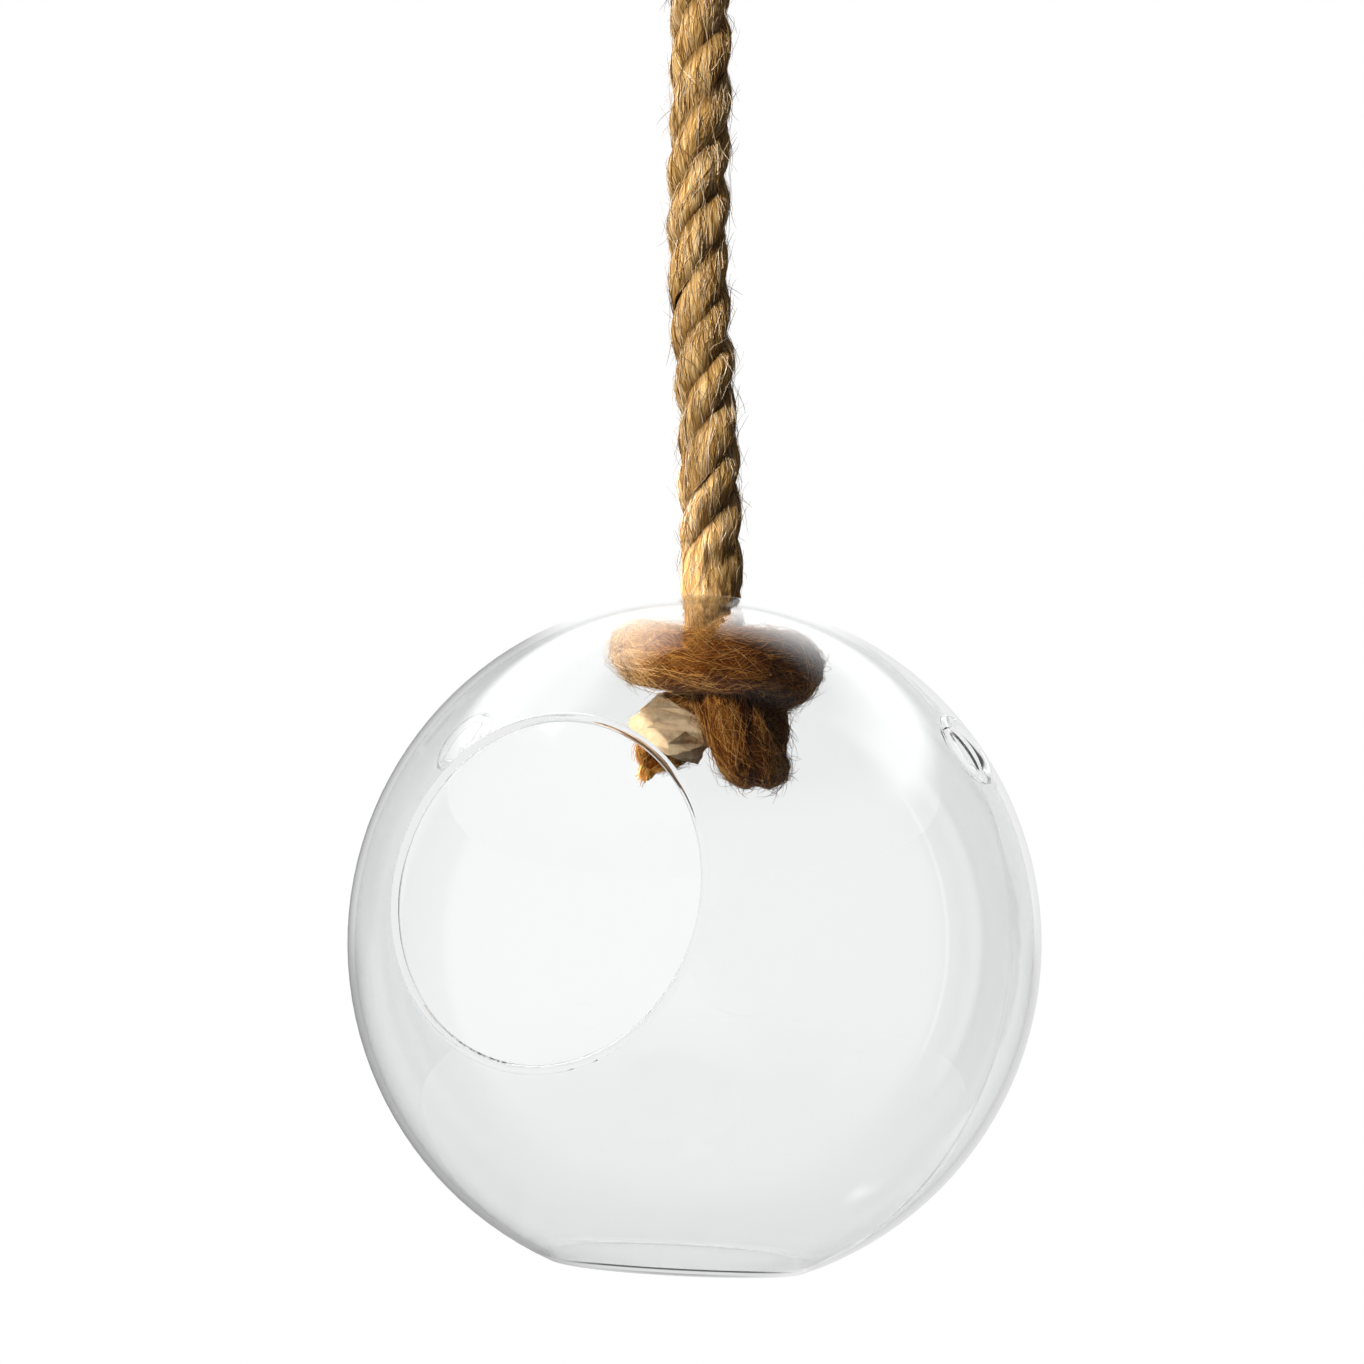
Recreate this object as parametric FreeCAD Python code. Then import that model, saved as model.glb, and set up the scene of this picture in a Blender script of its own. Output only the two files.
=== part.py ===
import FreeCAD, Part
import math
import os

from FreeCAD import Placement, Rotation, Vector

# Hanging glass ball vase, in millimetres, +Z up. A thick jute rope runs down through the
# hole in the top of a blown glass ball and ends inside in an overhand stopper knot, which
# carries the ball. The rope's upper end is turned over into an eye and bound with twine,
# and a crumpled paper sleeve keeps its lower end from fraying. The origin is the inside
# top of the eye, where a hook bears.

# Blown ball
ball_r = 125.0
ball_wall = 2.5
base_r = 43.5
base_wall = 3.5
base_corner_r = 8.0
floor_corner_r = 14.0
ball_tilt_deg = 3.0

# Openings of the ball, each with a fire-polished lip of round section
mouth_r = 58.5
mouth_lip_r = 1.7
mouth_rise_deg = 7.0
vent_r = 9.9
vent_lip_r = 2.45
vent_rise_deg = 35.3
vent_turn_deg = 3.3
rope_hole_play = 1.5
rope_hole_lip_r = 1.4

# Rope: from the eye's bearing down to the ball's top, and how far to the side it enters
rope_d = 22.0
hang_drop = 342.0
rope_offset = 6.5
rope_plane_deg = 28.0
bend_share = 0.45

# Twine whipping round the eye's two limbs
twine_d = 3.0
twine_crown = 0.5
whipping_turns = 12
whipping_top = -78.5
whipping_fit = 0.3

# Paper sleeve on the rope's lower end
bare_end = 8.0
sleeve_length = 18.0
sleeve_paper = 1.0
sleeve_fold = 1.6
sleeve_flare = 1.2
sleeve_folds = 5
sleeve_rings = 3

base_depth = base_corner_r + math.sqrt((ball_r - base_corner_r) ** 2 - base_r ** 2)
rope_r = rope_d / 2
ball_top = -hang_drop
across = Rotation(Vector(0, 0, 1), rope_plane_deg)

# Rope route as corner points in the rope's own plane: X along it, Y behind it. The eye and
# the straight part hang from the origin, and the knot's heights are from the ball's top.
eye_route = [
    (-20.8, 0, -119), (-20.8, 0, -66), (-25, 0, -36), (-27, 0, -5), (-12, 0, 11),
    (12, 0, 11), (28, 0, -6), (23, 0, -36), (2.2, 0, -63),
]
straight_route = [
    (2, 0, -118), (2.8, 0, -157), (0.6, 0, -200), (2.6, 0, -240), (5.4, 0, -290),
]
knot_route = [
    (6.2, 0, 15), (6.6, 0, -7), (7.5, -5, -22), (10, -14, -36), (14.5, -11.5, -52),
    (21, 3.5, -60.5), (26, 21.5, -58), (24.5, 34, -44), (17, 35, -28), (1.5, 32, -18.5),
    (-14.5, 21.5, -16.5), (-21.5, 1.5, -18), (-15.5, -18.5, -22), (1, -33.5, -24.5),
    (20.5, -35, -25), (35, -20.5, -25), (35.5, -1.5, -28), (24.5, 11.5, -34), (5.5, 11.5, -41),
    (-8.5, 9.5, -50), (-21, 8, -57.5),
]


def blown_form(radius, depth, corner_r):
    """Solid ball with a flat foot at depth, its edge rounded by a tangent arc."""
    corner_x = math.sqrt((radius - corner_r) ** 2 - (depth - corner_r) ** 2)
    corner_z = corner_r - depth
    top = Vector(0, 0, radius)
    side = Vector(radius, 0, 0)
    leave = Vector(corner_x, 0, corner_z) * (radius / (radius - corner_r))
    slope = (math.atan2(-leave.z, leave.x) + math.pi / 2) / 2
    middle = Vector(corner_x + corner_r * math.cos(slope), 0, corner_z - corner_r * math.sin(slope))
    foot = Vector(corner_x, 0, -depth)
    centre = Vector(0, 0, -depth)
    outline = Part.Wire([
        Part.Arc(top, side, leave).toShape(),
        Part.Arc(leave, middle, foot).toShape(),
        Part.LineSegment(foot, centre).toShape(),
        Part.LineSegment(centre, top).toShape(),
    ])
    return Part.Face(outline).revolve(Vector(0, 0, 0), Vector(0, 0, 1), 360)


def cut_opening(glass, direction, clear_r, lip_r):
    """Cut a round opening through the wall and melt its edge into a round lip."""
    ring_r = clear_r + lip_r
    height = math.sqrt((ball_r - ball_wall / 2) ** 2 - ring_r ** 2)
    bore = Part.makeCylinder(ring_r, ball_r, direction * (height / 2), direction)
    lip = Part.makeTorus(ring_r, lip_r, direction * height, direction)
    return glass.cut(bore).fuse(lip)


def direction_at(turn_deg, rise_deg):
    """Unit vector turned from +X about Z and raised from the level."""
    level = math.cos(math.radians(rise_deg))
    turn = math.radians(turn_deg)
    return Vector(level * math.cos(turn), level * math.sin(turn), math.sin(math.radians(rise_deg)))


def glass_ball():
    """The ball: one thin wall, a thicker foot, a wide mouth, two vents and a rope hole."""
    glass = blown_form(ball_r, base_depth, base_corner_r)
    glass = glass.cut(blown_form(ball_r - ball_wall, base_depth - base_wall, floor_corner_r))
    glass = cut_opening(glass, direction_at(-90, mouth_rise_deg), mouth_r, mouth_lip_r)
    for side_deg in (0, 180):
        glass = cut_opening(glass, direction_at(side_deg + vent_turn_deg, vent_rise_deg), vent_r, vent_lip_r)
    glass = cut_opening(glass, Vector(0, 0, 1), rope_r + rope_hole_play, rope_hole_lip_r)
    # The ball leans about its rope hole, to the right in the rope's plane
    lean = Rotation(across.multVec(Vector(0, 1, 0)), ball_tilt_deg)
    hole = across.multVec(Vector(rope_offset, 0, ball_top))
    glass.Placement = Placement(hole - lean.multVec(Vector(0, 0, ball_r)), lean)
    return glass


def rope_points():
    """All corner points of the rope, from the eye's short end to the end in the ball."""
    knot = [(x, y, z + ball_top) for x, y, z in knot_route]
    return [across.multVec(Vector(*point)) for point in eye_route + straight_route + knot]


def cord_tube(points, radius):
    """Straight runs joined by tangent arcs as large as the runs allow, swept by a circle."""
    edges = []
    bend_radii = []
    start = points[0]
    for before, corner, after in zip(points, points[1:], points[2:]):
        incoming = (corner - before).normalize()
        outgoing = (after - corner).normalize()
        half_turn = incoming.getAngle(outgoing) / 2
        reach = bend_share * min((corner - before).Length, (after - corner).Length)
        bend_r = reach / math.tan(half_turn)
        inward = (outgoing - incoming).normalize()
        leave = corner - incoming * reach
        join = corner + outgoing * reach
        middle = corner + inward * (bend_r / math.cos(half_turn) - bend_r)
        edges.append(Part.LineSegment(start, leave).toShape())
        edges.append(Part.Arc(leave, middle, join).toShape())
        bend_radii.append(bend_r)
        start = join
    edges.append(Part.LineSegment(start, points[-1]).toShape())
    path = Part.Wire(edges)
    section = Part.Wire(Part.makeCircle(radius, points[0], points[1] - points[0]))
    return path.makePipeShell([section], True, False), path.Length, bend_radii


def eye_whipping():
    """Turns of twine laid side by side round both limbs, as one ridged band."""
    left = Vector(eye_route[0][0], 0, whipping_top)
    right = Vector(straight_route[0][0], 0, whipping_top)
    wrap_r = rope_r + whipping_fit
    outward = Vector(0, -1, 0)
    path = Part.Wire([
        Part.LineSegment(left + outward * wrap_r, right + outward * wrap_r).toShape(),
        Part.Arc(right + outward * wrap_r, right + Vector(wrap_r, 0, 0), right - outward * wrap_r).toShape(),
        Part.LineSegment(right - outward * wrap_r, left - outward * wrap_r).toShape(),
        Part.Arc(left - outward * wrap_r, left - Vector(wrap_r, 0, 0), left + outward * wrap_r).toShape(),
    ])
    inner_top = left + outward * wrap_r
    valley = outward * (twine_d / 2)
    crest = outward * twine_d
    down = Vector(0, 0, -twine_d)
    crown = down * twine_crown
    corners = [inner_top, inner_top + valley]
    for turn in range(whipping_turns):
        turn_top = inner_top + down * turn
        crown_top = turn_top + crest + (down - crown) * 0.5
        corners += [crown_top, crown_top + crown, turn_top + valley + down]
    corners += [inner_top + down * whipping_turns, inner_top]
    band = path.makePipeShell([Part.makePolygon(corners)], True, False)
    band.Placement = Placement(Vector(0, 0, 0), across)
    return band


def end_sleeve(rope, points):
    """Paper wound round the last of the rope and crushed, so its outline is in sharp folds."""
    outward = (points[-1] - points[-2]).normalize()
    turn = Rotation(Vector(0, 0, 1), outward)
    corners = 2 * sleeve_folds
    rings = []
    for station in range(sleeve_rings):
        share = station / (sleeve_rings - 1)
        back = bare_end + sleeve_length * (1 - share)
        centre = points[-1] - outward * back
        ring = []
        for corner in range(corners):
            angle = 2 * math.pi * (corner + station / 2) / corners
            crest = sleeve_fold if (corner + station) % 2 else 0
            reach = rope_r + sleeve_paper + crest + sleeve_flare * share
            ring.append(centre + turn.multVec(Vector(reach * math.cos(angle), reach * math.sin(angle), 0)))
        rings.append(Part.makePolygon(ring + ring[:1]))
    return Part.makeLoft(rings, True, True).cut(rope)


rope_route = rope_points()
rope, rope_length, bend_radii = cord_tube(rope_route, rope_r)

os.makedirs("parts", exist_ok=True)
nodes = {
    "glass_ball": glass_ball(),
    "rope": rope,
    "eye_whipping": eye_whipping(),
    "end_sleeve": end_sleeve(rope, rope_route),
}
for name, solid in nodes.items():
    solid.exportStep(os.path.join("parts", name + ".step"))
    box = solid.BoundBox
    print(f"{name}: valid {solid.isValid()}, solids {len(solid.Solids)}, volume {solid.Volume:.1f} mm3")
    print(f"  x {box.XMin:.1f} {box.XMax:.1f}  y {box.YMin:.1f} {box.YMax:.1f}  z {box.ZMin:.1f} {box.ZMax:.1f}")

section_volume = math.pi * rope_r ** 2 * rope_length
print(f"rope length {rope_length:.1f} mm, volume over section times length {rope.Volume / section_volume:.4f}")
print("rope bend radii, mm:", " ".join(f"{bend_r:.0f}" for bend_r in bend_radii))
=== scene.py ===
import math

import bpy
import numpy as np
from mathutils import Matrix, Vector


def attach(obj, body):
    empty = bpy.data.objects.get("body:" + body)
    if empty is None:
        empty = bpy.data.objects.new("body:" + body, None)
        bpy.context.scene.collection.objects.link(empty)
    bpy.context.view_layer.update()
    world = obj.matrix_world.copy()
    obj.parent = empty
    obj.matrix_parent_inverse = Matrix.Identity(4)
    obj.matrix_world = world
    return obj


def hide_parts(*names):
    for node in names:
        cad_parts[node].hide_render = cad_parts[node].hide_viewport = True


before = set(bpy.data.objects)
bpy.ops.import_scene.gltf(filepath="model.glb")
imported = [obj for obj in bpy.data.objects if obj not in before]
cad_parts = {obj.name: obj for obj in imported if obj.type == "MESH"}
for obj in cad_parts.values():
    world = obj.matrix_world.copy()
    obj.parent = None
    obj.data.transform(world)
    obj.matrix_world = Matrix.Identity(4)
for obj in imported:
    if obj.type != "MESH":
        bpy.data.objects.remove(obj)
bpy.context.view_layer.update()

# The rope: thick natural jute, three strands laid to the right, each of many soft yarns. It
# hangs from its eye, enters the ball through the hole in the top and ends inside in an
# overhand stopper knot, pulled tight by hand, which carries the ball.
hole_z = -0.342
rope_plane = Matrix.Rotation(math.radians(28), 3, "Z")
viewer = rope_plane @ Vector((0, -1, 0))

# The route's corner points are the CAD's, but the ends and the knot's front are moved a little
# to follow the photo. X is along the rope's own plane, Y behind it, and Z up from the
# eye's bearing, in metres.
eye_route = [
    (-0.0208, 0, -0.1152), (-0.0208, 0, -0.066), (-0.025, 0, -0.036), (-0.027, 0, -0.005),
    (-0.012, 0, 0.011), (0.012, 0, 0.011), (0.028, 0, -0.006), (0.023, 0, -0.036),
    (0.0022, 0, -0.063),
]
straight_route = [
    (0.002, 0, -0.118), (0.0028, 0, -0.157), (0.0006, 0, -0.2), (0.0026, 0, -0.24),
    (0.0054, 0, -0.29),
]
knot_route = [
    (0.0062, 0, -0.327), (0.0066, 0, -0.349), (0.0075, -0.005, -0.364),
    (0.01, -0.014, -0.378), (0.0145, -0.0115, -0.394), (0.021, 0.0035, -0.4025),
    (0.026, 0.0215, -0.4), (0.0245, 0.034, -0.386), (0.017, 0.035, -0.37),
    (0.0015, 0.032, -0.3605), (-0.0145, 0.0215, -0.3585), (-0.0215, 0.0015, -0.36),
    (-0.0155, -0.0185, -0.366), (0.001, -0.0335, -0.3685), (0.0205, -0.035, -0.368),
    (0.035, -0.0205, -0.3675), (0.0355, -0.0015, -0.37), (0.0245, 0.0115, -0.3755),
    (0.0055, 0.0115, -0.379), (-0.0085, 0.0095, -0.3875), (-0.0175, 0.0135, -0.4045),
]
route = [rope_plane @ Vector(point) for point in eye_route + straight_route + knot_route]
route_curve = bpy.data.curves.new("route", "CURVE")
route_curve.dimensions = "3D"
spline = route_curve.splines.new("NURBS")
spline.points.add(len(route) - 1)
for point, place in zip(spline.points, route):
    point.co = (*place, 1)
spline.order_u = 3
spline.use_endpoint_u = True
spline.resolution_u = 40
route_object = bpy.data.objects.new("route", route_curve)
route_mesh = bpy.data.meshes.new_from_object(route_object)
route_line = np.array([v.co for v in route_mesh.vertices])
bpy.data.objects.remove(route_object)
bpy.data.meshes.remove(route_mesh)


def resampled(line, count):
    """The same line with count evenly spaced points, and each one's distance along it."""
    along = np.concatenate([[0], np.cumsum(np.linalg.norm(np.diff(line, axis=0), axis=1))])
    at = np.linspace(0, along[-1], count)
    return np.stack([np.interp(at, along, line[:, axis]) for axis in range(3)], axis=1), at


def carried_frames(line, toward, mark):
    """Tangents, and two directions across the line, carried along it without turning.

    The first of the two faces toward at the mark.
    """
    any_way = (0.3, 0.9, 0.1)
    tangents = np.gradient(line, axis=0)
    tangents /= np.linalg.norm(tangents, axis=1)[:, None]
    sides = np.zeros_like(line)
    sides[0] = np.cross(tangents[0], any_way)
    for i in range(len(line)):
        side = sides[max(i - 1, 0)]
        side = side - tangents[i] * (side @ tangents[i])
        sides[i] = side / np.linalg.norm(side)
    across = np.cross(tangents, sides)
    turn = math.atan2(toward @ across[mark], toward @ sides[mark])
    facing_sides = sides * math.cos(turn) + across * math.sin(turn)
    return tangents, facing_sides, np.cross(tangents, facing_sides)


def value_noise(x, y, seed):
    """Smooth noise from -1 to 1 over the plane, one cell a unit."""
    cells = 256
    table = np.random.default_rng(seed).uniform(-1, 1, (cells, cells))
    x0, y0 = np.floor(x).astype(int), np.floor(y).astype(int)
    u, v = x - x0, y - y0
    u, v = u * u * (3 - 2 * u), v * v * (3 - 2 * v)
    x0, y0, x1, y1 = x0 % cells, y0 % cells, (x0 + 1) % cells, (y0 + 1) % cells
    low = table[x0, y0] * (1 - u) + table[x1, y0] * u
    high = table[x0, y1] * (1 - u) + table[x1, y1] * u
    return low * (1 - v) + high * v


def new_object(name, points, faces, smooth=True):
    """A mesh object that belongs to the vase."""
    mesh = bpy.data.meshes.new(name)
    mesh.from_pydata(points.tolist(), [], faces.tolist())
    if smooth:
        mesh.shade_smooth()
    made = bpy.data.objects.new(name, mesh)
    bpy.context.scene.collection.objects.link(made)
    return made


def grid_faces(ring_count, around_count, closed):
    """Faces between rings of points, which either close round a tube or lie open."""
    ring, column = np.meshgrid(
        np.arange(ring_count - 1), np.arange(around_count if closed else around_count - 1), indexing="ij")
    beyond = (column + 1) % around_count
    here, there = ring * around_count, (ring + 1) * around_count
    return np.stack([here + column, here + beyond, there + beyond, there + column], axis=-1).reshape(-1, 4)


def set_values(made, name, values):
    """One number or one vector for each point of a mesh, which its material reads by name."""
    kind, field = ("FLOAT_VECTOR", "vector") if values.ndim == 2 else ("FLOAT", "value")
    made.data.attributes.new(name, kind, "POINT").data.foreach_set(field, values.ravel())


# The strands. Yarns run nearly along the rope, as they are spun against the lay. One skin a
# strand is made on the route's line, from a little past one groove to past the next.
strand_count = 3
strand_r = 0.0057
strand_out = 0.0052
top_r = strand_out + strand_r
groove_angle = math.pi / strand_count
skin_half_angle = math.radians(67)
yarn_pitch = 1.85
ring_count = 900
across_count = 36
rope_line, rope_at = resampled(route_line, ring_count)
rope_z = rope_line[:, 2]
rope_length = rope_at[-1]


def nearest_ring(height, chosen):
    """The rope's ring nearest to a height, among the chosen ones."""
    return int(np.argmin(np.where(chosen, np.abs(rope_z - height), np.inf)))


# The lay was matched to the photo at one mark above the ball, past the eye
eye_length, mark_z = 0.2, -0.2786
mark = nearest_ring(mark_z, rope_at > eye_length)
mark_turn = math.radians(60)
past_mark = rope_at - rope_at[mark]
tangents, sides, acrosses = carried_frames(rope_line, np.array(viewer), mark)

# The knot gets painted shade, which draws it browner and darker than the rope. The ring's left end,
# where the light falls, is left nearly without it, so it stays as pale as the rope.
knot_start, knot_fade = 0.062, 0.02
lit_left_x, lit_left_fade = 0.009, 0.018
ring_low_z, lit_left_lift = -0.374, 0.9
in_knot = np.clip((past_mark - knot_start) / knot_fade, 0, 1)
painted_lit_left = np.clip((lit_left_x - rope_line[:, 0]) / lit_left_fade, 0, 1) * (rope_z > ring_low_z)
painted_knot_shade = in_knot * (1 - lit_left_lift * painted_lit_left)

# The lobe under the knot is bent hard: its strands open, and one groove faces the viewer
lobe_top_z, lobe_front_z = -0.372, -0.39
lobe_fade, lobe_front_half = 0.014, 0.013
tail_length = 0.045
in_lobe = np.clip((lobe_top_z - rope_z) / lobe_fade, 0, 1) * (rope_at < rope_length - tail_length)
lobe_ring = nearest_ring(lobe_front_z, in_lobe > 0)
lobe_front = np.exp(-((rope_at - rope_at[lobe_ring]) / lobe_front_half) ** 2)

# How far the strands have turned. Their lay is shorter toward the hole and opens in the lobe.
# Between the mark and the lobe they are turned a little further, to bring the groove round.
lay_heights, lay_lengths = [-0.34, -0.14], [0.054, 0.062]
lobe_adds = 0.09
lay = np.interp(rope_z, lay_heights, lay_lengths) + lobe_adds * in_lobe
turn = np.cumsum(2 * math.pi * np.diff(rope_at, prepend=0) / lay)
turn -= turn[mark] + mark_turn
facing = math.atan2(viewer @ Vector(acrosses[lobe_ring]), viewer @ Vector(sides[lobe_ring]))
short_by = (facing - turn[lobe_ring]) % (2 * groove_angle) - groove_angle
further_from, further_to = 0.05, past_mark[lobe_ring] - 0.01
turn += short_by * np.clip((past_mark - further_from) / (further_to - further_from), 0, 1)

# The grooves are shallow where the strands are pressed, in the knot and just above the hole,
# and deep at the lobe's front. The whipping pulls the rope thinner.
usual_groove, knot_groove, hole_groove, lobe_groove = 0.46, -0.08, -0.4, 0.5
press_z, press_half = hole_z + 0.007, 0.008
whipping_z, whipping_half = -0.0965, 0.02
knot_squeeze, whipping_squeeze = 0.02, 0.03
hole_press = np.exp(-((rope_z - press_z) / press_half) ** 2)
whipping_press = np.exp(-((rope_z - whipping_z) / whipping_half) ** 4)
groove_depth = usual_groove + knot_groove * in_knot + hole_groove * hole_press + lobe_groove * lobe_front
tightness = 1 - knot_squeeze * in_knot - whipping_squeeze * whipping_press


def along_rope(values, along):
    """A quantity known along the rope's line, read at other distances along it."""
    if values.ndim == 2:
        return np.stack([np.interp(along, rope_at, column) for column in values.T], axis=-1)
    return np.interp(along, rope_at, values)


def angle_on_strand(theta):
    """An angle seen from the rope's centre, as one about the strand's own centre."""
    return theta + np.arcsin(strand_out * np.sin(theta) / strand_r)


def sunk_at(theta):
    """How far into a groove a place lies: 0 up to halfway from the crown, 1 in the groove."""
    return np.clip(2 * np.abs(theta) / groove_angle - 1, 0, 1)


# How uneven the skin is. Each row of reliefs gives a height, a cell's size across the yarns
# and along them, how far the pattern moves from strand to strand, and a seed.
reliefs = [
    (0.00035, 0.0019, 0.03, 31, 12),
    (0.00022, 0.0009, 0.012, 17, 13),
    (0.00045, 0.006, 0.011, 13, 14),
]
patch_length, patch_angle, patch_shift, patch_seed = 0.014, 1.4, 3.1, 15
patch_depth, knot_evens = 0.6, 0.7
bulge_length, bulge_shift, bulge_seed = 0.023, 7.3, 11
bulge_height = 0.03
end_round = 0.006
tail_taper, tail_end = 0.013, 0.35


def skin_at(strand, along, theta):
    """Points on a strand's skin, the outward directions there, and the place among its yarns."""
    phase = along_rope(turn, along) + 2 * math.pi * strand / strand_count
    yarn = strand_r * (angle_on_strand(theta) + yarn_pitch * phase)
    round_r = strand_out * np.cos(theta) + np.sqrt(strand_r ** 2 - (strand_out * np.sin(theta)) ** 2)
    patches = value_noise(along / patch_length, patch_shift * strand + theta / patch_angle, patch_seed)
    uneven = 1 + patch_depth * patches * (1 - knot_evens * along_rope(in_knot, along))
    radius = top_r - (top_r - round_r) * along_rope(groove_depth, along) * uneven
    bulges = value_noise(along / bulge_length, 0 * along + bulge_shift * strand, bulge_seed)
    radius *= along_rope(tightness, along) * (1 + bulge_height * bulges)
    for height, across_size, along_size, shift, seed in reliefs:
        radius += height * value_noise(yarn / across_size, along / along_size + shift * strand, seed)
    end_gap = np.clip(np.minimum(along, rope_length - along) / end_round, 0, 1)
    radius *= np.sqrt(np.clip(1 - (1 - end_gap) ** 2, 0.02, 1))
    radius *= tail_end + (1 - tail_end) * np.clip((rope_length - along) / tail_taper, 0, 1) ** 0.8
    angle = (theta + phase)[..., None]
    outward = np.cos(angle) * along_rope(sides, along) + np.sin(angle) * along_rope(acrosses, along)
    return along_rope(rope_line, along) + radius[..., None] * outward, outward, yarn


# The skins, with what their material reads: the place among the yarns, how much painted shade a
# groove gets, and how much painted shade the knot gets. Each strand's pattern lies apart from the others'.
# Painted shade in the grooves, by their depth, and more of it at the lobe's front
painted_groove_shade, painted_lobe_shade = 1.6, 0.6
strand_apart = 0.31
theta_grid = np.linspace(-skin_half_angle, skin_half_angle, across_count)
skin_along = rope_at[:, None] + 0 * theta_grid
skin_theta = theta_grid + 0 * skin_along
skin_shade_weight = painted_groove_shade * groove_depth + painted_lobe_shade * lobe_front
skin_groove_shade = sunk_at(skin_theta) * skin_shade_weight[:, None]
skin_points, skin_faces, skin_yarns = [], [], []
for strand in range(strand_count):
    points, _, yarn = skin_at(strand, skin_along, skin_theta)
    skin_points.append(points.reshape(-1, 3))
    skin_faces.append(strand * skin_along.size + grid_faces(ring_count, across_count, closed=False))
    skin_yarns.append(np.stack([yarn, skin_along, 0 * yarn + strand * strand_apart], axis=-1).reshape(-1, 3))
rope = new_object("rope_strands", np.concatenate(skin_points), np.concatenate(skin_faces))
set_values(rope, "yarn", np.concatenate(skin_yarns))
set_values(rope, "groove", np.tile(skin_groove_shade.ravel(), strand_count))
set_values(rope, "knot", np.tile(np.repeat(painted_knot_shade, across_count), strand_count))


def fibre_tubes(name, paths, outward, radii, tones, knots):
    """Thin three-sided tubes along many paths at once, each fibre with its own tone."""
    tube_count, point_count = paths.shape[:2]
    tube_sides = 3
    forward = np.gradient(paths, axis=1)
    forward /= np.linalg.norm(forward, axis=2)[..., None]
    beside = np.cross(forward, outward)
    beside /= np.linalg.norm(beside, axis=2)[..., None]
    outer = np.cross(beside, forward)
    corners = []
    for corner in range(tube_sides):
        angle = 2 * math.pi * corner / tube_sides
        corners.append(paths + radii[..., None] * (math.cos(angle) * outer + math.sin(angle) * beside))
    points = np.stack(corners, axis=2).reshape(-1, 3)
    first = point_count * tube_sides * np.arange(tube_count)[:, None, None]
    walls = (first + grid_faces(point_count, tube_sides, closed=True)).reshape(-1, 4)
    made = new_object(name, points, walls)
    set_values(made, "tone", np.repeat(tones, point_count * tube_sides))
    # Each point's share of the knot's painted shade, which the fibre material reads
    set_values(made, "knot", np.repeat(knots.ravel(), tube_sides))
    return made


# Loose fibres: short ones that lie along the yarns, a mat of longer ones, and fuzz that stands
# off, most of it on the knot. At the hole they are pressed flat. Angles are in radians.
fibre_count = 5400
fibre_points = 7
fibre_margin, end_margin = 0.006, 0.001
spread_angle, stray_angle, knot_strays = 1.5, 0.6, 1.5
hole_flat, hole_half = 0.85, 0.01
wave_turns, wave_starts = (2, 7), (0, 6.28)
thickness, tip_taper = (0.6, 1.2), 0.7
sits_out, rise_power, curl_power = 0.4, 1.6, 1.3
# Painted shade: how much darker the fibres' tones get in the grooves and on the knot
groove_shade_drop, knot_shade_drop, tone_shape = 0.4, 0.1, 1.1


def fibres_on_rope(name, seed, lengths, radius, rise_roots, curl, knot_share):
    """Loose fibres that follow the yarns and lift off them.

    Rises are drawn as square roots, so that most fibres stay low. knot_share is how many more
    of them a length of the knot has than the rope.
    """
    rng = np.random.default_rng(seed)
    each = (fibre_count, 1)
    share = np.linspace(0, 1, fibre_points)[None, :]
    weights = np.cumsum(1 + (knot_share - 1) * in_knot)
    length = rng.uniform(*lengths, each)
    middle = np.interp(rng.uniform(0, 1, each), weights / weights[-1], rope_at)
    middle = np.clip(middle, fibre_margin, rope_length - fibre_margin)
    strand = rng.integers(0, strand_count, each)
    way = rng.choice([-1, 1], each)
    along = np.clip(middle + way * length * (share - 0.5), end_margin, rope_length - end_margin)
    swing = along_rope(turn, along) - along_rope(turn, middle)
    stray = rng.normal(0, stray_angle, each) * (1 + knot_strays * along_rope(in_knot, middle))
    place = rng.uniform(-spread_angle, spread_angle, each)
    local = place - yarn_pitch * swing + stray * (share - 0.5)
    theta = np.interp(local, angle_on_strand(theta_grid), theta_grid)
    points, outward, _ = skin_at(strand, along, theta)
    beside = np.cross(outward, along_rope(tangents, along))
    clear = 1 - hole_flat * np.exp(-((along_rope(rope_z, along) - hole_z) / hole_half) ** 2)
    rise = rng.uniform(*rise_roots, each) ** 2 * share ** rise_power * clear
    wave = np.sin(share * rng.uniform(*wave_turns, each) + rng.uniform(*wave_starts, each))
    drift = curl * rng.normal(0, 1, each) * wave * share ** curl_power * clear
    paths = points + (rise + sits_out * radius)[..., None] * outward + drift[..., None] * beside
    radii = radius * rng.uniform(*thickness, each) * (1 - tip_taper * share ** 2)
    # Painted shade: fibres sunk in the grooves, more at the lobe's front, and fibres on the knot get darker
    # tones
    sunk = sunk_at(theta).mean(axis=1)
    tone_shade_drop = groove_shade_drop * sunk * (1 + along_rope(lobe_front, middle)[:, 0])
    tone_shade_drop = tone_shade_drop + knot_shade_drop * along_rope(painted_knot_shade, middle)[:, 0]
    tones = np.clip(rng.beta(tone_shape, tone_shape, fibre_count) - tone_shade_drop, 0, 1)
    return fibre_tubes(name, paths, outward, radii, tones, along_rope(painted_knot_shade, along))


lying = fibres_on_rope("rope_fibres", 21, lengths=(0.007, 0.02), radius=0.00016,
                       rise_roots=(0.0, 0.026), curl=0.0008, knot_share=1.5)
matted = fibres_on_rope("rope_matting", 25, lengths=(0.008, 0.024), radius=0.00013,
                        rise_roots=(0.01, 0.034), curl=0.0018, knot_share=2.2)
fuzz = fibres_on_rope("rope_fuzz", 22, lengths=(0.006, 0.018), radius=0.00013,
                      rise_roots=(0.02, 0.074), curl=0.0024, knot_share=3.4)

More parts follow.
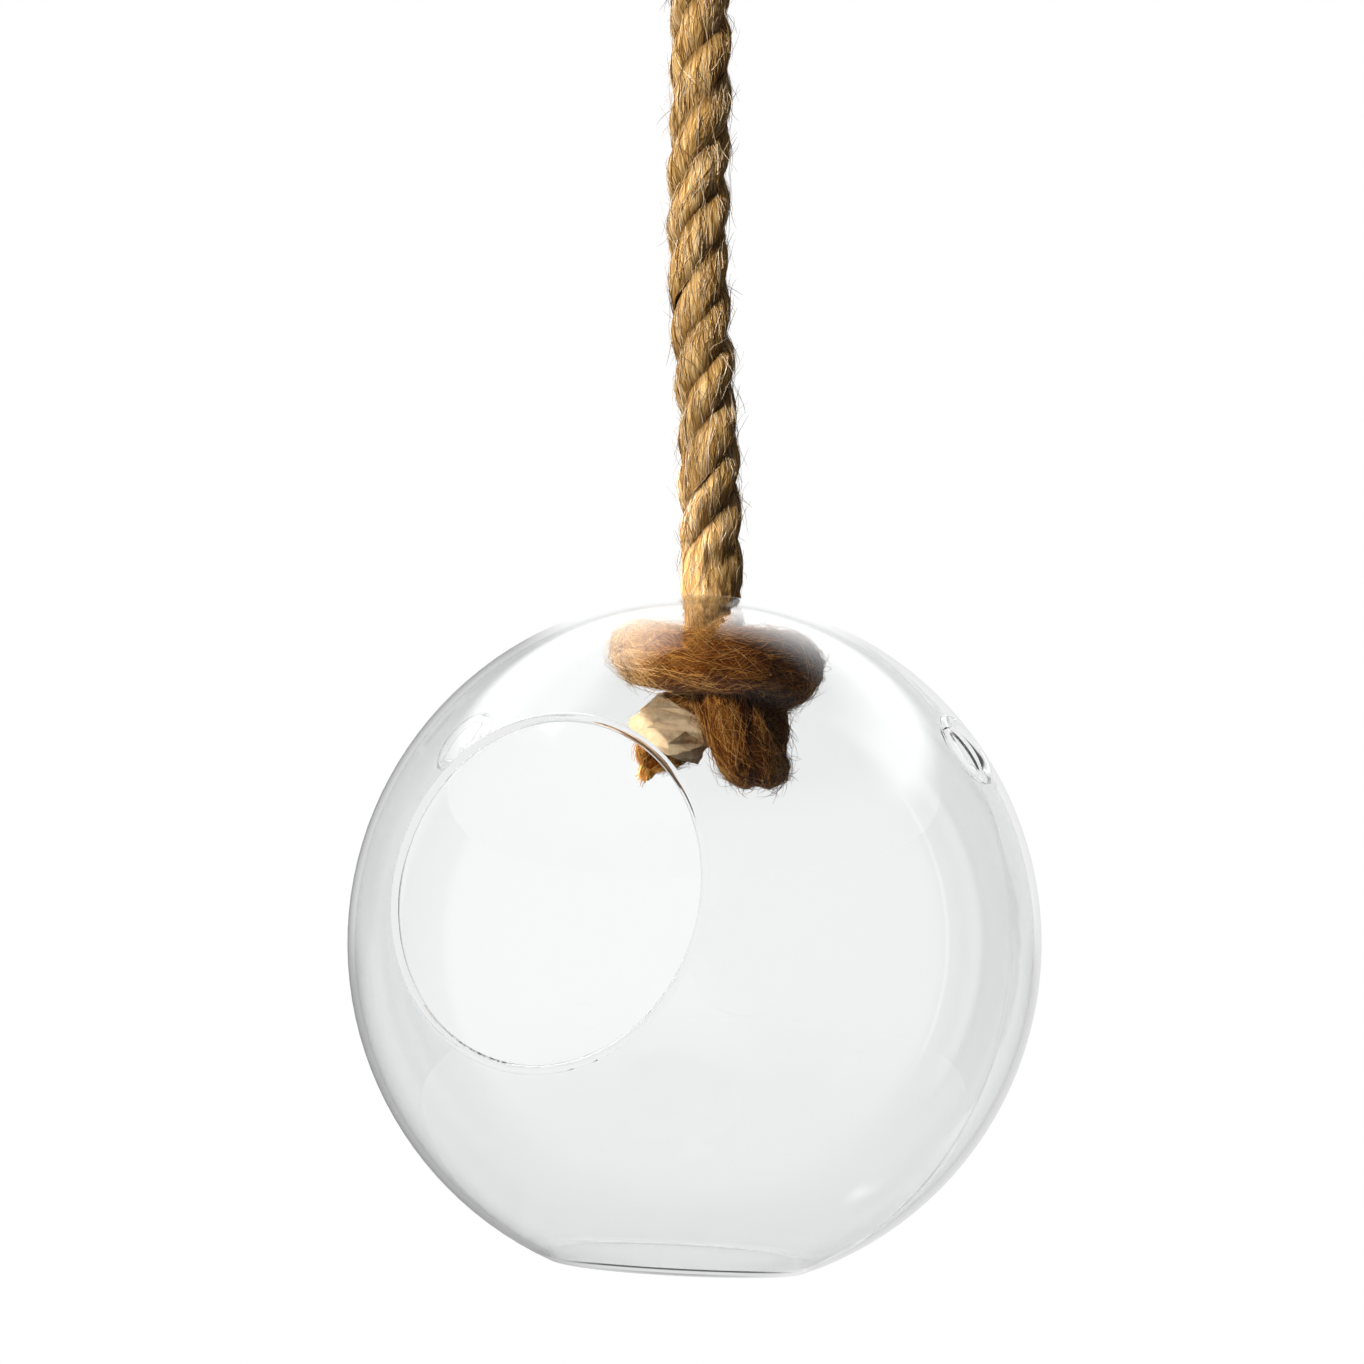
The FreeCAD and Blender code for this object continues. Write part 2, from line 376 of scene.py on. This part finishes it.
# The rope's two cut ends: a brush of stiff fibres stands out of each
brush_count = 420
brush_points = 5
brush_root = 0.005
brush_radii, brush_taper, brush_tones = (0.00014, 0.00028), 0.4, (1.3, 1.8)
middle_longer, rim_shorter, brush_lean = 1.25, 0.6, 0.12


def cut_end(name, seed, ring, way, lengths, width, spread):
    """A brush of short stiff fibres of uneven length, at the rope's first or last ring."""
    rng = np.random.default_rng(seed)
    share = np.linspace(0, 1, brush_points)[None, :, None]
    reach = width * np.sqrt(rng.uniform(0, 1, brush_count))
    angle = rng.uniform(0, 2 * math.pi, brush_count)
    spoke = np.cos(angle)[:, None] * sides[ring] + np.sin(angle)[:, None] * acrosses[ring]
    outward_way = way * tangents[ring]
    root = rope_line[ring] - outward_way * brush_root + reach[:, None] * spoke
    length = rng.uniform(*lengths, brush_count) * (middle_longer - rim_shorter * reach / width)
    length = length + brush_root
    lean = spread * reach[:, None] / width * spoke + rng.normal(0, brush_lean, (brush_count, 3))
    grown = length[:, None, None] * share * (outward_way + lean[:, None, :] * share ** 0.7)
    paths = root[:, None, :] + grown
    outward = np.repeat(spoke[:, None, :], brush_points, axis=1)
    radii = rng.uniform(*brush_radii, brush_count)[:, None] * (1 - brush_taper * share[..., 0])
    tones = rng.beta(*brush_tones, brush_count)
    # The brushes get the knot's full painted shade
    return fibre_tubes(name, paths, outward, radii, tones, np.ones((brush_count, brush_points)))


lower_end = cut_end("rope_lower_end", 23, ring=ring_count - 1, way=1, lengths=(0.0005, 0.004),
                    width=0.0042, spread=-0.4)
upper_end = cut_end("rope_upper_end", 24, ring=0, way=-1, lengths=(0.0005, 0.0022),
                    width=0.0098, spread=0.1)


def linear(colour):
    """An sRGB hex colour as linear RGBA."""
    values = [int(colour[i:i + 2], 16) / 255 for i in (0, 2, 4)]
    return [v / 12.92 if v <= 0.04045 else ((v + 0.055) / 1.055) ** 2.4 for v in values] + [1]


def add_node(tree, kind, inputs=(), **settings):
    """A node with its settings, and with values or links put on its inputs."""
    node = tree.nodes.new(kind)
    for key, value in settings.items():
        setattr(node, key, value)
    for key, value in dict(inputs).items():
        if isinstance(value, bpy.types.NodeSocket):
            tree.links.new(value, node.inputs[key])
        else:
            node.inputs[key].default_value = value
    return node


def new_material(name):
    """A new material, its tree and its shader."""
    made = bpy.data.materials.new(name)
    made.use_nodes = True
    tree = made.node_tree
    return made, tree, tree.nodes["Principled BSDF"]


def set_stops(ramp, stops):
    """Give a colour ramp its stops, each a place from 0 to 1 and a linear colour."""
    elements = ramp.color_ramp.elements
    elements.remove(elements[-1])
    elements[0].position, elements[0].color = stops[0]
    for place, colour in stops[1:]:
        elements.new(place).color = colour


# Jute: dry straw-gold bast fibre, dull and rough. Tones change from yarn to yarn and, finer,
# from fibre to fibre, the relief between them catches the light, and the grooves get painted shade.
# Sizes are across the yarns and along them. The knot gets painted shade, browner and darker.
yarn_size, yarn_patch = 0.001613, 0.0238
fibre_size, fibre_patch = 0.0004762, 0.00909
strand_cell = 0.01
wander_size, wander_by = 0.01111, 0.0022
fibre_share, groove_shade = 0.6, 0.9
jute, tree, shader = new_material("jute_rope")
yarn = add_node(tree, "ShaderNodeAttribute", attribute_name="yarn").outputs["Vector"]
groove = add_node(tree, "ShaderNodeAttribute", attribute_name="groove").outputs["Fac"]
knot = add_node(tree, "ShaderNodeAttribute", attribute_name="knot").outputs["Fac"]
wander = add_node(tree, "ShaderNodeTexNoise", {"Vector": yarn, "Scale": 1 / wander_size, "Detail": 2})
wander = add_node(tree, "ShaderNodeVectorMath", {0: wander.outputs["Color"], 1: (wander_by, 0, 0)},
                  operation="MULTIPLY")
wandered = add_node(tree, "ShaderNodeVectorMath", {0: yarn, 1: wander.outputs[0]}, operation="ADD").outputs[0]
yarn_scale = (1 / yarn_size, 1 / yarn_patch, 1 / strand_cell)
fibre_scale = (1 / fibre_size, 1 / fibre_patch, 1 / strand_cell)
yarn_space = add_node(tree, "ShaderNodeVectorMath", {0: wandered, 1: yarn_scale}, operation="MULTIPLY")
fibre_space = add_node(tree, "ShaderNodeVectorMath", {0: wandered, 1: fibre_scale}, operation="MULTIPLY")
yarns = add_node(tree, "ShaderNodeTexNoise", {"Vector": yarn_space.outputs[0], "Scale": 1, "Detail": 2})
fibres = add_node(tree, "ShaderNodeTexNoise", {
    "Vector": fibre_space.outputs[0], "Scale": 1, "Detail": 3, "Roughness": 0.65})
mixed = add_node(tree, "ShaderNodeMix", {
    0: fibre_share, 2: yarns.outputs["Fac"], 3: fibres.outputs["Fac"]}).outputs[0]
ramp = add_node(tree, "ShaderNodeValToRGB", {"Fac": mixed})
set_stops(ramp, [(0.36, linear("6B4A22")), (0.5, linear("B88E50")), (0.63, linear("E4C48E"))])
shade = add_node(tree, "ShaderNodeMapRange", {"Value": groove, "To Max": groove_shade})
# Painted shade: the groove attribute mixes the colour toward dark brown 452A10
jute_colour = add_node(tree, "ShaderNodeMix", {
    0: shade.outputs[0], 6: ramp.outputs["Color"], 7: linear("452A10")}, data_type="RGBA")
# Painted shade: the knot attribute multiplies the colour toward brown 7E5830, except on the ring's lit left
# end
knot_shaded = add_node(tree, "ShaderNodeMix", {0: knot, 6: jute_colour.outputs[2], 7: linear("7E5830")},
                   data_type="RGBA", blend_type="MULTIPLY")
tree.links.new(knot_shaded.outputs[2], shader.inputs["Base Color"])
shader.inputs["Roughness"].default_value = 0.8
shader.inputs["Specular IOR Level"].default_value = 0.15
bump = add_node(tree, "ShaderNodeBump", {"Height": mixed, "Strength": 1.0, "Distance": 0.0009})
tree.links.new(bump.outputs[0], shader.inputs["Normal"])
rope.data.materials.append(jute)
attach(rope, "root")
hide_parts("rope")

# Single jute fibres, from brown to bleached straw, with the faint gloss of dry bast
fibre, tree, shader = new_material("jute_fibre")
tone = add_node(tree, "ShaderNodeAttribute", attribute_name="tone").outputs["Fac"]
knot = add_node(tree, "ShaderNodeAttribute", attribute_name="knot").outputs["Fac"]
ramp = add_node(tree, "ShaderNodeValToRGB", {"Fac": tone})
set_stops(ramp, [(0, linear("4A2B0D")), (0.45, linear("B98F52")), (1, linear("FFF3DA"))])
# Painted shade: on the knot and the cut ends, the fibres' colour is multiplied toward DDBB84
knot_shaded = add_node(tree, "ShaderNodeMix", {0: knot, 6: ramp.outputs["Color"], 7: linear("DDBB84")},
                   data_type="RGBA", blend_type="MULTIPLY")
tree.links.new(knot_shaded.outputs[2], shader.inputs["Base Color"])
shader.inputs["Roughness"].default_value = 0.5
shader.inputs["Specular IOR Level"].default_value = 0.2
for made in (lying, matted, fuzz, lower_end, upper_end):
    made.data.materials.append(fibre)
    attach(made, "root")


# The ball: clear soda-lime glass, blown, with a flat foot, a wide mouth, two vents and the
# rope's hole. Its own CAD walls refract and reflect, and lamps shine through it to what hangs
# inside. Light that has been mirrored three times in the wall leaves it, which keeps it clean.
def bounced(rays, kind, times):
    """1 for a ray that has bounced in one way at least so many times, otherwise 0."""
    return add_node(tree, "ShaderNodeMath", {0: rays.outputs[kind], 1: times - 0.5},
                    operation="GREATER_THAN").outputs[0]


glass, tree, shader = new_material("clear_glass")
shader.inputs["Base Color"].default_value = linear("FBFCFC")
shader.inputs["Roughness"].default_value = 0
shader.inputs["IOR"].default_value = 1.5
shader.inputs["Transmission Weight"].default_value = 1
rays = add_node(tree, "ShaderNodeLightPath")
clear = add_node(tree, "ShaderNodeBsdfTransparent", {"Color": linear("F6F6F6")})
trapped = bounced(rays, "Glossy Depth", 3)
freed = add_node(tree, "ShaderNodeMixShader", {0: trapped, 1: shader.outputs[0], 2: clear.outputs[0]})
through = add_node(tree, "ShaderNodeMixShader", {
    0: rays.outputs["Is Shadow Ray"], 1: freed.outputs[0], 2: clear.outputs[0]})
tree.links.new(through.outputs[0], tree.nodes["Material Output"].inputs["Surface"])
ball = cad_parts["glass_ball"]
ball.data.materials.clear()
ball.data.materials.append(glass)

# The whipping: natural two-ply jute twine, wound tight in side by side turns round both limbs
# of the eye, its ends drawn in between the limbs. Each half turn is the one before it, turned
# about the middle between the limbs.
twine_r = 0.0015
twine_turns = 12
twine_top_z = -0.08
wrap_r = 0.0128
left_limb, right_limb = -0.0208, 0.002
tuck_length, tuck_by = 0.012, 0.6
ply_lay = 0.0085
ply_crown, ply_groove = 1.04, 0.84
ply_noise, ply_cells, ply_cell, ply_seed = 0.00007, 5, 0.002, 31
end_taper = 0.002
twine_points, twine_corners = 1500, 16
limb_gap = right_limb - left_limb
half_turn = limb_gap + math.pi * wrap_r
around = np.linspace(0, 2 * twine_turns * half_turn, twine_points)
from_end = np.minimum(around, around[-1] - around)
half_turns = np.floor(around / half_turn)
within = around - half_turns * half_turn
facing_front = 1 - 2 * (half_turns % 2)
swing = np.maximum(within - limb_gap, 0) / wrap_r
tucked = np.clip(1 - from_end / tuck_length, 0, 1) ** 2
wrap_x = np.minimum(within, limb_gap) - limb_gap / 2 + wrap_r * np.sin(swing)
wrap_line = np.stack([
    (left_limb + right_limb) / 2 + facing_front * wrap_x,
    -facing_front * wrap_r * np.cos(swing) * (1 - tuck_by * tucked),
    twine_top_z - twine_r * around / half_turn], axis=1)
twine_forward = np.gradient(wrap_line, axis=0)
twine_forward /= np.linalg.norm(twine_forward, axis=1)[:, None]
twine_side = np.cross(twine_forward, (0, 0, 1))
twine_side /= np.linalg.norm(twine_side, axis=1)[:, None]
twine_up = np.cross(twine_side, twine_forward)
corner = np.linspace(0, 2 * math.pi, twine_corners, endpoint=False)[None, :]
ply_angle = corner - (2 * math.pi * around / ply_lay)[:, None]
ply_r = twine_r * (ply_groove + (ply_crown - ply_groove) * np.abs(np.cos(ply_angle)))
ply_r = ply_r + ply_noise * value_noise(ply_cells * ply_angle, around[:, None] / ply_cell, ply_seed)
ply_r *= np.sqrt(np.clip(from_end / end_taper, 0.01, 1))[:, None]
twine_skin = wrap_line[:, None, :] + ply_r[..., None] * (
    np.cos(corner)[..., None] * twine_side[:, None, :] + np.sin(corner)[..., None] * twine_up[:, None, :])
twine_skin = twine_skin @ np.array(rope_plane).T
twine_faces = grid_faces(twine_points, twine_corners, closed=True)
binding = new_object("eye_binding", twine_skin.reshape(-1, 3), twine_faces)
twist = np.stack([ply_angle * twine_r, around[:, None] + 0 * corner, 0 * ply_angle], axis=-1)
set_values(binding, "twist", twist.reshape(-1, 3))

# Twine spun from the same jute, finer and tighter: a ply's fibres slant across it
spun_size, spun_length = 0.0003846, 0.003333
twine, tree, shader = new_material("jute_twine")
twist = add_node(tree, "ShaderNodeAttribute", attribute_name="twist").outputs["Vector"]
spun = add_node(tree, "ShaderNodeVectorMath", {0: twist, 1: (1 / spun_size, 1 / spun_length, 1)},
                operation="MULTIPLY").outputs[0]
spun = add_node(tree, "ShaderNodeTexNoise", {
    "Vector": spun, "Scale": 1, "Detail": 3, "Roughness": 0.6}).outputs["Fac"]
ramp = add_node(tree, "ShaderNodeValToRGB", {"Fac": spun})
set_stops(ramp, [(0.34, linear("6E4C25")), (0.66, linear("D9B680"))])
tree.links.new(ramp.outputs["Color"], shader.inputs["Base Color"])
shader.inputs["Roughness"].default_value = 0.75
bump = add_node(tree, "ShaderNodeBump", {"Height": spun, "Strength": 0.9, "Distance": 0.0004})
tree.links.new(bump.outputs[0], shader.inputs["Normal"])
binding.data.materials.append(twine)
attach(binding, "root")
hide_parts("eye_whipping")


# The sleeve: kraft paper wound once round the rope's end and crushed by hand, so it is all
# sharp facets, with its outer rim flared and torn
def creased(x, y, corners):
    """Values straight between a net's corners, in flat triangles. The net closes round x."""
    cells, rows = corners.shape[:2]
    x0, y0 = np.floor(x).astype(int), np.clip(np.floor(y).astype(int), 0, rows - 2)
    u, v = (x - x0)[..., None], (y - y0)[..., None]
    low, high = corners[x0 % cells, y0], corners[(x0 + 1) % cells, y0 + 1]
    third = np.where(u > v, corners[(x0 + 1) % cells, y0], corners[x0 % cells, y0 + 1])
    flat, steep = np.maximum(u, v), np.minimum(u, v)
    return low * (1 - flat) + third * (flat - steep) + high * steep


def end_spokes(angle):
    """Directions across the rope at its lower end."""
    return np.cos(angle)[..., None] * sides[-1] + np.sin(angle)[..., None] * acrosses[-1]


paper_around, paper_rings = 126, 48
paper_r, paper_flare = 0.0135, 0.0016
paper_from, paper_width, paper_thick = 0.0295, 0.0185, 0.0004
fold_cells, fold_rows = 9, 5
fold_jitter, fold_uneven, edge_uneven = 0.2, (-0.0009, 0.0018), 0.0016
crease_cells, crease_rows, crease_slant = 21, 13, 1.5
creases_along = 11.9
crease_height = 0.00055
paper_seed = 41
rng = np.random.default_rng(paper_seed)
folds = (fold_cells, fold_rows)
share = np.linspace(0, 1, fold_rows)[None, :]
cell = np.arange(fold_cells)[:, None] + 0.5 * (np.arange(fold_rows) % 2)
angle = 2 * math.pi * (cell + rng.uniform(-fold_jitter, fold_jitter, folds)) / fold_cells
fold_r = paper_r + paper_flare * share + rng.uniform(*fold_uneven, folds)
back = paper_from - paper_width * share + rng.uniform(-edge_uneven, edge_uneven, folds) * (share > 0)
net = along_rope(rope_line, rope_length - back) + fold_r[..., None] * end_spokes(angle)
turned_by = np.linspace(0, 1, paper_around, endpoint=False)[None, :]
share = np.linspace(0, 1, paper_rings)[:, None]
paper_points = creased(fold_cells * turned_by + 0 * share, (fold_rows - 1) * share + 0 * turned_by, net)
crease_net = rng.uniform(-1, 1, (crease_cells, crease_rows, 1))
creases = creased(crease_cells * turned_by - crease_slant * share,
                  creases_along * share + 0 * turned_by, crease_net)
paper_points = paper_points + crease_height * creases * end_spokes(2 * math.pi * turned_by)
paper_faces = grid_faces(paper_rings, paper_around, closed=True)
sleeve = new_object("paper_sleeve", paper_points.reshape(-1, 3), paper_faces, smooth=False)
thick = sleeve.modifiers.new("paper", "SOLIDIFY")
thick.thickness = paper_thick
thick.offset = -1

# Kraft paper: matte, beige, mottled, with fine fibres pressed in and scuffed folds
mottle_size, grain_size = 0.003846, 0.0006667
paper, tree, shader = new_material("kraft_paper")
place = add_node(tree, "ShaderNodeTexCoord").outputs["Object"]
mottle = add_node(tree, "ShaderNodeTexNoise", {
    "Vector": place, "Scale": 1 / mottle_size, "Detail": 4, "Roughness": 0.6})
ramp = add_node(tree, "ShaderNodeValToRGB", {"Fac": mottle.outputs["Fac"]})
set_stops(ramp, [(0.3, linear("93795A")), (0.7, linear("BBA584"))])
tree.links.new(ramp.outputs["Color"], shader.inputs["Base Color"])
shader.inputs["Roughness"].default_value = 0.7
grain = add_node(tree, "ShaderNodeTexNoise", {"Vector": place, "Scale": 1 / grain_size, "Detail": 3})
bump = add_node(tree, "ShaderNodeBump", {"Height": grain.outputs["Fac"], "Strength": 0.5, "Distance": 0.0003})
tree.links.new(bump.outputs[0], shader.inputs["Normal"])
sleeve.data.materials.append(paper)
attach(sleeve, "root")
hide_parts("end_sleeve")

# The studio: white behind the ball, a panel above it, and grey flags to both sides that draw
# the glass's outline. The ball's outer surface mirrors panel and flags, its inner surfaces a
# room that is nearly white, and the rope and the paper get a faint fill from it.
world = bpy.data.worlds.new("studio")
bpy.context.scene.world = world
world.use_nodes = True
tree = world.node_tree
tree.nodes.clear()
direction = add_node(tree, "ShaderNodeTexCoord").outputs["Generated"]
up = Vector((0, 0, 1))
ahead = rope_plane @ Vector((0, 1, 0))
right = rope_plane @ Vector((1, 0, 0))
part = {}
for name, way in (("right", right), ("ahead", ahead), ("up", up)):
    part[name] = add_node(tree, "ShaderNodeVectorMath", {0: direction, 1: tuple(way)},
                          operation="DOT_PRODUCT").outputs["Value"]
aside = add_node(tree, "ShaderNodeMath", {0: part["right"]}, operation="ABSOLUTE").outputs[0]


def in_degrees(operation, *values):
    """An angle in degrees, worked out from parts of the direction."""
    angle = add_node(tree, "ShaderNodeMath", dict(enumerate(values)), operation=operation).outputs[0]
    return add_node(tree, "ShaderNodeMath", {0: angle}, operation="DEGREES").outputs[0]


def rising(value, low, high):
    """From 0 to 1 as a value goes from low to high."""
    inputs = {"Value": value, "From Min": low, "From Max": high}
    return add_node(tree, "ShaderNodeMapRange", inputs, interpolation_type="SMOOTHSTEP").outputs[0]


def blended(base, factor, level):
    """The base level with another level where factor is 1."""
    return add_node(tree, "ShaderNodeMix", {0: factor, 2: base, 3: level}).outputs[0]


# A direction's angle to the right of straight ahead, its angle up, and its angle up as it looks
# from the front. Limits on them are in degrees, and limits on its parts go from -1 to 1.
angle_right = in_degrees("ARCTAN2", part["right"], part["ahead"])
angle_aside = add_node(tree, "ShaderNodeMath", {0: angle_right}, operation="ABSOLUTE").outputs[0]
angle_up = in_degrees("ARCSINE", part["up"])
angle_round = in_degrees("ARCTAN2", part["up"], aside)

# The flags: angles to the right, and how bright the studio is there
flags = [
    (-180, 0.3), (-110, 0.3), (-80, 0.4), (-60, 0.5), (-38, 0.32), (-25, 0.2), (-12, 0.12),
    (-4, 0.3), (4, 0.8), (44, 0.7), (46, 0.0), (50, 0.2), (60, 0.26), (64, 0.0), (71, 0.0),
    (74, 1.2), (78, 1.2), (83, 0.35), (89.2, 0.3), (90, 3.0), (91, 0.3), (115, 0.2),
]
turned = add_node(tree, "ShaderNodeMapRange", {"Value": angle_right, "From Min": -180, "From Max": 180})
ramp = add_node(tree, "ShaderNodeValToRGB", {"Fac": turned.outputs[0]})
set_stops(ramp, [(angle / 360 + 0.5, (grey, grey, grey, 1)) for angle, grey in flags])

# What the outer surface mirrors: the flags, the floor below them, the panel's lower and upper
# parts above them, dark overhead, and the room behind the viewer
below, panel_low, panel_high = 0.22, 1.15, 3.2
panel_left, panel_right, dark = 2.5, 0.8, 0.02
room_behind = 0.6
level = blended(ramp.outputs["Color"], rising(angle_up, -18, -38), below)
level = blended(level, rising(angle_round, 58, 72), panel_low)
level = blended(level, rising(angle_up, 30, 38), panel_high)
over_left = blended(panel_left, rising(angle_up, 62, 75), dark)
over_right = blended(panel_right, rising(angle_up, 54, 64), dark)
over = blended(over_right, rising(part["right"], 0.035, -0.14), over_left)
level = blended(level, rising(angle_up, 42, 60), over)
level = blended(level, rising(part["ahead"], 0.1745, -0.1745), room_behind)
behind_above = blended(level, rising(part["ahead"], 0.0873, -0.0873), dark)
level = blended(level, rising(angle_up, 35, 50), behind_above)

# What the inner surfaces mirror: darker to the sides, so that the wall's edge shows, white
# ahead and above, and dark overhead
front_grey, side_dark, edge_grey, white = 0.5, 0.0, 0.6, 1.0
to_side = blended(side_dark, rising(angle_aside, 77, 85), edge_grey)
inside = blended(front_grey, rising(angle_aside, 50, 58), to_side)
inside = blended(inside, rising(angle_round, 50, 70), white)
ahead_above = blended(0, rising(angle_up, -3, 3), rising(part["ahead"], 0.698, 0.9076))
inside = blended(inside, ahead_above, white)
inside = blended(inside, rising(angle_up, 15, 58), dark)

# Light that runs inside the glass comes out nearly white, but dark along the foot's edge
level_ahead = blended(rising(part["ahead"], 0.8378, 0.9425), rising(angle_up, 0, 6), 0.0)
nearly_white, foot_dark = 0.95, 0.1
run_inside = blended(nearly_white, level_ahead, foot_dark)

# The fill: faint from ahead, stronger from behind the viewer, and least from below
fill_ahead, fill_behind, fill_below = 0.03, 0.09, 0.015
fill = blended(fill_ahead, rising(part["ahead"], 0.1745, -0.698), fill_behind)
fill = blended(fill, rising(angle_up, 0, -35), fill_below)

# Which of these a ray sees, the last that fits it. The eye itself sees plain white.
rays = add_node(tree, "ShaderNodeLightPath")
outer = add_node(tree, "ShaderNodeMath", {
    0: rays.outputs["Is Glossy Ray"], 1: rays.outputs["Is Transmission Ray"],
}, operation="SUBTRACT").outputs[0]
strength = blended(white, bounced(rays, "Glossy Depth", 1), inside)
strength = blended(strength, outer, level)
strength = blended(strength, bounced(rays, "Glossy Depth", 2), run_inside)
strength = blended(strength, bounced(rays, "Diffuse Depth", 1), fill)
background = add_node(tree, "ShaderNodeBackground", {"Color": (1, 1, 1, 1), "Strength": strength})
add_node(tree, "ShaderNodeOutputWorld", {"Surface": background.outputs[0]})

# The lamps: narrow spots for the rope, the knot and its lobe, and soft lamps from the left,
# from behind and from above, in watts. The glass mirrors none of them.
ball_centre = Vector((-0.00004, -0.00002, -0.4668))
spot_r = 0.05


def from_ball(to_right, to_ahead, to_up):
    """A place, by the metres to the right, ahead and up from the ball's centre."""
    return ball_centre + right * to_right + ahead * to_ahead + up * to_up


def add_lamp(name, kind, place, target, power, **settings):
    """A lamp at a place, facing its target, that lights the vase but isn't seen."""
    lamp = bpy.data.lights.new(name, kind)
    lamp.energy = power
    for key, value in settings.items():
        setattr(lamp, key, value)
    made = bpy.data.objects.new(name, lamp)
    made.location = place
    made.rotation_euler = (target - place).to_track_quat("-Z", "Y").to_euler()
    bpy.context.scene.collection.objects.link(made)
    made.visible_camera = False
    made.visible_glossy = False
    made.visible_transmission = False


add_lamp("key", "AREA", from_ball(-1.4, -0.25, 0.75), from_ball(0, 0, 0.1), 6.5, size=0.35)
add_lamp("knot_spot", "SPOT", from_ball(-0.75, -0.4, 1.2), from_ball(-0.04, 0, 0.113), 2600,
         spot_size=math.radians(2.9), spot_blend=1, shadow_soft_size=spot_r)
add_lamp("lobe_spot", "SPOT", from_ball(-0.9, -1.1, 0.3), from_ball(0.013, 0, 0.062), 1700,
         spot_size=math.radians(2.0), spot_blend=1, shadow_soft_size=spot_r)
add_lamp("rope_spot", "SPOT", from_ball(-0.85, -1.0, 1.05), from_ball(0, 0, 0.255), 188,
         spot_size=math.radians(9.5), spot_blend=0.5, shadow_soft_size=spot_r)
add_lamp("back", "AREA", from_ball(0, 1.3, 0.9), from_ball(0, 0, 0.15), 14, size=0.35)
add_lamp("top", "AREA", from_ball(0, 0, 1.9), from_ball(0, 0, 0), 10, size=0.8)

# The floor: matte white board under the vase. It glows, to look nearly as white as the studio
# behind it, but sends no glow to the vase, and it takes the vase's soft shadow.
floor_r, floor_z, floor_corners = 1.5, -1.15, 96
glow_seen, glow_mirrored = 0.54, 0.25
edge = [(floor_r * math.cos(a), floor_r * math.sin(a), floor_z)
        for a in np.linspace(0, 2 * math.pi, floor_corners, endpoint=False)]
floor_mesh = bpy.data.meshes.new("floor")
floor_mesh.from_pydata(edge, [], [range(floor_corners)])
floor = bpy.data.objects.new("floor", floor_mesh)
bpy.context.scene.collection.objects.link(floor)
pale, tree, shader = new_material("floor_board")
shader.inputs["Base Color"].default_value = linear("F2F2F0")
shader.inputs["Roughness"].default_value = 0.9
shader.inputs["Emission Color"].default_value = (1, 1, 1, 1)
rays = add_node(tree, "ShaderNodeLightPath")
glow = blended(glow_seen, bounced(rays, "Glossy Depth", 1), glow_mirrored)
glow = blended(glow, bounced(rays, "Diffuse Depth", 1), 0.0)
tree.links.new(glow, shader.inputs["Emission Strength"])
floor_mesh.materials.append(pale)
floor.visible_glossy = False

# The camera stands level with the ball, as in the photograph, and looks at a point between
# the ball and the top of the rope that the photo shows
camera_data = bpy.data.cameras.new("camera")
camera_data.lens = 98.3
camera_data.sensor_width = 36
camera = bpy.data.objects.new("camera", camera_data)
camera_away = 1.35
tilt = math.radians(-0.5)
aim = from_ball(-0.0045, 0, 0.094)
camera.location = from_ball(0, -camera_away * math.cos(tilt), camera_away * math.sin(tilt))
camera.rotation_euler = (aim - camera.location).to_track_quat("-Z", "Y").to_euler()
bpy.context.scene.collection.objects.link(camera)
bpy.context.scene.camera = camera
bpy.context.scene.view_settings.view_transform = "Standard"
